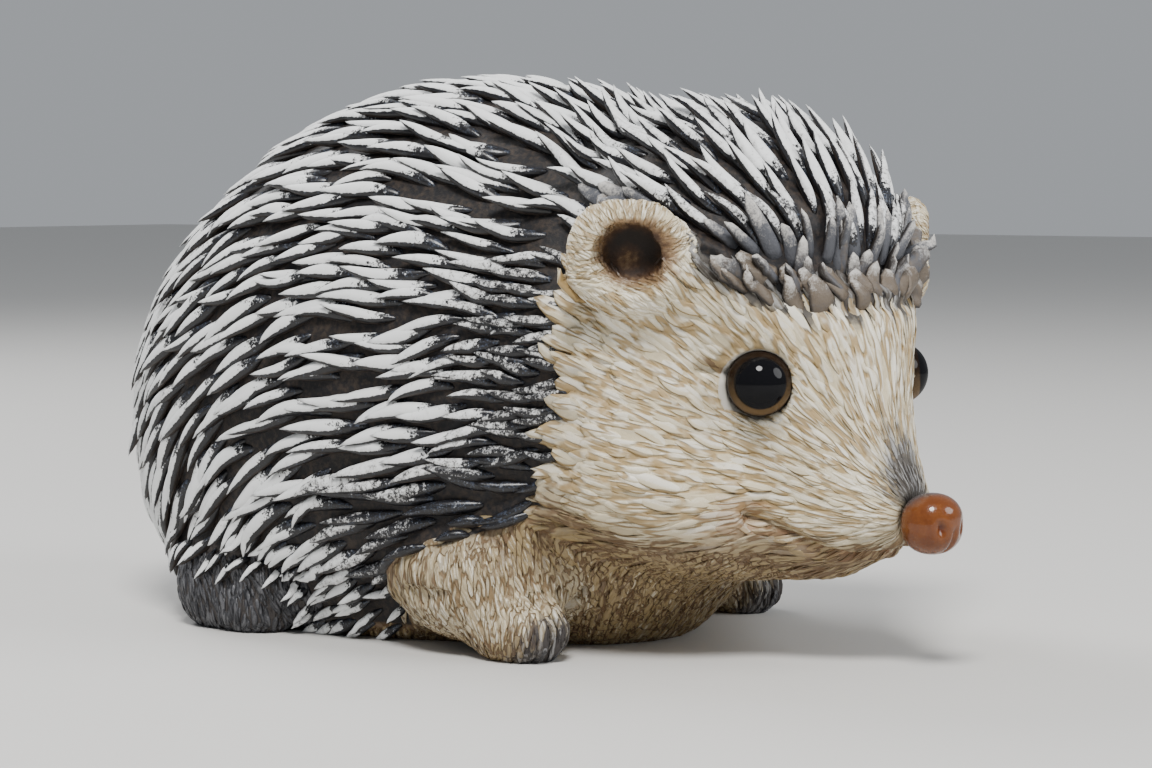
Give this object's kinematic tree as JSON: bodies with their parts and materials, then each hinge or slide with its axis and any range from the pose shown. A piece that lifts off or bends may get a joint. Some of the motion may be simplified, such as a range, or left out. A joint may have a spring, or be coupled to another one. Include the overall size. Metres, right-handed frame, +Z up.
{
  "type": "hedgehog figurine",
  "caption": "Crouching hedgehog ornament in painted cast resin, quills swept back over a rounded body, head turned a little, standing on a flat underside.",
  "frame": {"origin": "on the floor, below the middle of the bounding box", "axes": "+Z up, the hedgehog's body faces -Y and its left side is +X; its length runs along Y"},
  "size_m": [0.089, 0.1644, 0.0934],
  "materials": {
    "quilled_resin": "matte paint, black and dark grey with dry-brushed white quills",
    "cream_resin": "matte paint, cream with an ochre wash in the carved fur",
    "grey_resin": "matte paint, dark grey, dry-brushed",
    "nose_lacquer": "glossy terracotta lacquer",
    "eye_glass": "polished dark glass"
  },
  "bodies": {
    "root": {"trunk": "quilled_resin", "head": "cream_resin", "tail": "grey_resin", "ear_right": "cream_resin", "ear_left": "cream_resin", "eye_right": "eye_glass", "eye_left": "eye_glass", "nose": "nose_lacquer", "foreleg_right": "cream_resin", "foreleg_left": "cream_resin", "hind_leg_right": "grey_resin", "hind_leg_left": "grey_resin"}
  },
  "joints": []
}
